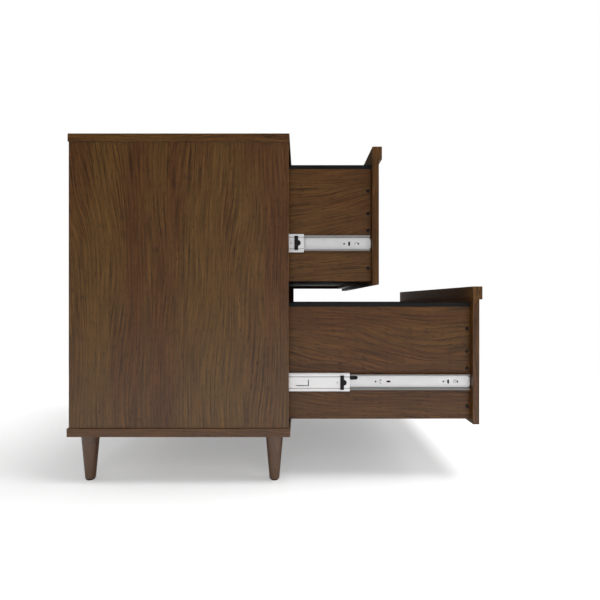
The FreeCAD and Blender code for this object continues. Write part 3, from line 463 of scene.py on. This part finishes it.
# a domed head, then the core and its point
def turnScrew(kind, shape=screwShape):
    look = screwLook[kind]
    rim = look["height"] * shape["rim"]
    bpy.ops.object.select_all(action="DESELECT")
    bpy.ops.mesh.primitive_cylinder_add(vertices=shape["headSides"], radius=look["head"], depth=rim,
                                        location=(0, 0, -rim / 2))
    screw = bpy.context.object
    screw.name = kind + "_screw"
    bpy.ops.object.transform_apply(location=True, rotation=False, scale=False)
    pickFaces(screw, lambda face: face.normal.z < -shape["flatFacing"])
    pullFace(-look["height"] * shape["dome"], shape["domeNarrow"])
    pullFace(-look["height"] * shape["crown"], shape["crownNarrow"])
    bpy.ops.object.mode_set(mode="OBJECT")
    pickFaces(screw, lambda face: face.normal.z > shape["flatFacing"])
    bpy.ops.mesh.inset(thickness=look["head"] - look["core"])
    pullFace(look["length"] * shape["shank"], 1.0)
    pullFace(look["length"] * shape["point"], shape["pointNarrow"])
    bpy.ops.object.mode_set(mode="OBJECT")
    return screw


# the driver's cross, cut one bar at a time
def cutCross(screw, look, shape=screwShape):
    bar = (look["head"] * shape["crossArm"] * 2, look["head"] * shape["crossWidth"] * 2,
           look["height"] * shape["crossDepth"] * 2)
    for turn in (0, 90):
        bpy.ops.object.select_all(action="DESELECT")
        bpy.ops.mesh.primitive_cube_add(size=1, location=(0, 0, -look["height"]), scale=bar,
                                        rotation=(0, 0, math.radians(turn)))
        cutter = bpy.context.object
        bpy.ops.object.transform_apply(location=True, rotation=True, scale=True)
        pickFaces(cutter, lambda face: face.normal.z > shape["flatFacing"])
        bpy.ops.transform.resize(value=(shape["crossTaper"], shape["crossTaper"], 1))
        bpy.ops.object.mode_set(mode="OBJECT")
        pickOnly(screw)
        cut = screw.modifiers.new("cross", "BOOLEAN")
        cut.operation = "DIFFERENCE"
        cut.solver = "EXACT"
        cut.object = cutter
        bpy.ops.object.modifier_apply(modifier=cut.name)
        bpy.data.objects.remove(cutter)


# a diamond wound up the core, its ends closed
def windThread(screw, look, shape=screwShape):
    bpy.ops.object.select_all(action="DESELECT")
    bpy.ops.mesh.primitive_circle_add(vertices=shape["threadCorners"], radius=look["crest"] - look["core"],
                                      fill_type="NOTHING", location=(look["core"], 0, look["pitch"]),
                                      rotation=(math.radians(90), 0, 0))
    thread = bpy.context.object
    bpy.ops.object.transform_apply(location=True, rotation=True, scale=False)
    wind = thread.modifiers.new("thread", "SCREW")
    wind.axis = "Z"
    wind.screw_offset = look["pitch"]
    wind.iterations = int(look["length"] * shape["threaded"] / look["pitch"]) - 1
    wind.steps = shape["threadSides"]
    bpy.ops.object.modifier_apply(modifier=wind.name)
    bpy.ops.object.mode_set(mode="EDIT")
    bpy.ops.mesh.select_all(action="SELECT")
    bpy.ops.mesh.fill_holes(sides=shape["threadCorners"])
    bpy.ops.mesh.normals_make_consistent(inside=False)
    bpy.ops.object.mode_set(mode="OBJECT")
    pickOnly(screw, thread)
    bpy.ops.object.join()


def makeScrew(kind):
    screw = turnScrew(kind)
    cutCross(screw, screwLook[kind])
    windThread(screw, screwLook[kind])
    pickOnly(screw)
    bpy.ops.object.shade_smooth_by_angle(angle=math.radians(screwShape["smoothDegrees"]))
    screw.data.materials.clear()
    screw.data.materials.append(plain[screwLook[kind]["finish"]])
    return screw


# each copy has its own mesh, and its cross is turned on from the one before it
def driveScrews(screw, spots, direction, shape=screwShape):
    driven = []
    upright = Vector((0, 0, 1)).rotation_difference(Vector(direction)).to_matrix().to_4x4()
    for count, spot in enumerate(spots):
        turn = Matrix.Rotation(shape["firstTurn"] + count * shape["nextTurn"], 4, "Z")
        copy = screw.copy()
        copy.data = screw.data.copy()
        copy.data.transform(Matrix.Translation(spot) @ upright @ turn)
        bpy.context.scene.collection.objects.link(copy)
        driven.append(copy)
    return driven


def joinScrews(driven, name, drawer, standsFor):
    pickOnly(*driven)
    bpy.ops.object.join()
    piece = bpy.context.object
    piece.name = name
    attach(piece, drawer + "_drawer")
    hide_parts(standsFor)


# where the screws stand in a drawer, from its box sides and runners; lengths in metres
screwPlaces = {
    "frontLine": 0.0075, "frontLevels": (0.0300, 0.1176, 0.1566, 0.2094),
    "backLine": 0.0060, "backShares": (0.2, 0.5, 0.8),
    "runnerSteps": (0.0339, 0.2070, 0.3755), "runnerSheet": 0.0013,
    "frontAcross": 0.25, "frontThickness": 0.015, "fixingLevels": (0.06, 0.20),
}


def screwDrawer(drawer, screws, places=screwPlaces):
    low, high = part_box(drawer + "_left_box_side")
    railLow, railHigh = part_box(drawer + "_left_drawer_runner")
    lines = [(low[1] + places["frontLine"], low[2] + level) for level in places["frontLevels"]]
    lines += [(high[1] - places["backLine"], low[2] + (high[2] - low[2]) * share)
              for share in places["backShares"]]
    rails = [(railLow[1] + step, (railLow[2] + railHigh[2]) / 2) for step in places["runnerSteps"]]
    boxes, fixings = [], []
    for side in (1, -1):
        seat = (low[0] + screwLook["box"]["height"]) * side
        web = (low[0] - places["runnerSheet"]) * side
        boxes += driveScrews(screws["box"], [(seat, y, z) for y, z in lines], (side, 0, 0))
        fixings += driveScrews(screws["runner"], [(web, y, z) for y, z in rails], (side, 0, 0))
        spots = [(places["frontAcross"] * side, low[1] + places["frontThickness"], low[2] + level)
                 for level in places["fixingLevels"]]
        fixings += driveScrews(screws["front"], spots, (0, -1, 0))
    joinScrews(boxes, drawer + "_box_cross_screws", drawer, drawer + "_box_screws")
    joinScrews(fixings, drawer + "_fixing_cross_screws", drawer, drawer + "_fixing_screws")


screws = {kind: makeScrew(kind) for kind in screwLook}
for drawer in ("upper", "lower"):
    screwDrawer(drawer, screws)
for screw in screws.values():
    bpy.data.objects.remove(screw)
print("screws driven")


# camera square to the left side, as in the photograph
cameraLook = {"place": (-1.406, -0.2722, 0.4148), "lens": 27.0, "sensor": 36.0}


def buildCamera(look=cameraLook):
    data = bpy.data.cameras.new("camera")
    data.lens = look["lens"]
    data.sensor_width = look["sensor"]
    data.dof.use_dof = False
    camera = bpy.data.objects.new("camera", data)
    camera.location = look["place"]
    camera.rotation_euler = (math.radians(90), 0, math.radians(-90))
    bpy.context.scene.collection.objects.link(camera)
    bpy.context.scene.camera = camera


# white floor that keeps the shadow and turns plain white away from the cabinet
floorLook = {"size": 40.0, "seen": (0.95, 0.95, 0.95, 1.0), "bounced": (0.74, 0.74, 0.74, 1.0),
             "roughness": 0.8, "lift": 0.30, "nearEdge": 0.9, "farEdge": 2.2}


def buildFloor(look=floorLook):
    bpy.ops.object.select_all(action="DESELECT")
    bpy.ops.mesh.primitive_plane_add(size=look["size"])
    floor = bpy.context.object
    floor.name = "floor"
    material, shader, spot = newMaterial("floor_paper")
    tree = material.node_tree
    shader.inputs["Roughness"].default_value = look["roughness"]
    path = tree.nodes.new("ShaderNodeLightPath")
    seen = Wire(tree, path.outputs["Is Camera Ray"])
    seen.feed(shader.inputs["Base Color"], seen.blend(look["bounced"], look["seen"]))
    away = spot.node("ShaderNodeVectorMath", {"operation": "LENGTH"}, {0: spot}, 1)
    amount = seen * away.ramp(look["nearEdge"], look["farEdge"], look["lift"], 1.0)
    white = tree.nodes.new("ShaderNodeEmission")
    white.inputs["Color"].default_value = (1.0, 1.0, 1.0, 1.0)
    mixed = tree.nodes.new("ShaderNodeMixShader")
    amount.feed(mixed.inputs[0], amount)
    tree.links.new(shader.outputs[0], mixed.inputs[1])
    tree.links.new(white.outputs[0], mixed.inputs[2])
    tree.links.new(mixed.outputs[0], tree.nodes["Material Output"].inputs["Surface"])
    floor.data.materials.append(material)


# a wide key lamp above and a little to the front, and a soft lamp at each side; none shows in reflections
lightLook = {
    "key": {"place": (-0.15, -1.3, 4.0), "aim": (0.0, -0.25, 0.2), "size": 2.6, "power": 175.0},
    "left": {"place": (-3.2, -0.6, 1.3), "aim": (0.0, -0.3, 0.45), "size": 2.5, "power": 32.0},
    "right": {"place": (3.2, -0.3, 1.3), "aim": (0.0, -0.2, 0.45), "size": 2.5, "power": 24.0},
    "rear": {"place": (0.2, 3.2, 1.4), "aim": (0.0, 0.0, 0.4), "size": 2.5, "power": 28.0},
    "front": {"place": (-0.3, -3.2, 1.5), "aim": (0.0, 0.0, 0.3), "size": 2.0, "power": 60.0},
}


def buildLights(looks=lightLook):
    for name, look in looks.items():
        data = bpy.data.lights.new(name, "AREA")
        data.size = look["size"]
        data.energy = look["power"]
        lamp = bpy.data.objects.new(name, data)
        lamp.location = look["place"]
        aim = Vector(look["aim"]) - Vector(look["place"])
        lamp.rotation_euler = aim.to_track_quat("-Z", "Y").to_euler()
        lamp.visible_glossy = False
        bpy.context.scene.collection.objects.link(lamp)


# white to the eye, soft as light, and dim in reflections, most of all overhead and behind
worldLook = {"seen": (1.0, 1.0, 1.0, 1.0), "light": (0.40, 0.40, 0.40, 1.0), "mirrored": (0.2, 0.2, 0.2, 1.0),
             "behind": (0.08, 0.08, 0.08, 1.0), "behindFrom": (-0.2, 0.7),
             "overhead": (0.05, 0.05, 0.05, 1.0), "overheadFrom": (0.13, 0.30)}


def buildWorld(look=worldLook):
    world = bpy.data.worlds.new("studio")
    world.use_nodes = True
    bpy.context.scene.world = world
    tree = world.node_tree
    background = tree.nodes["Background"]
    path = tree.nodes.new("ShaderNodeLightPath")
    coords = tree.nodes.new("ShaderNodeTexCoord")
    ways = Wire(tree, coords.outputs["Generated"]).split()
    camera, glossy, clear = [Wire(tree, path.outputs[name]) for name in
                             ("Is Camera Ray", "Is Glossy Ray", "Is Transmission Ray")]
    around = ways[0].ramp(*look["behindFrom"]).blend(look["mirrored"], look["behind"])
    shiny = ways[2].ramp(*look["overheadFrom"]).blend(around, look["overhead"])
    lit = glossy.maths("MAXIMUM", clear).blend(look["light"], shiny)
    camera.feed(background.inputs["Color"], camera.blend(lit, look["seen"]))


buildCamera()
buildFloor()
buildLights()
buildWorld()
bpy.context.scene.view_settings.view_transform = "Standard"
print("stage, camera and lights ready")
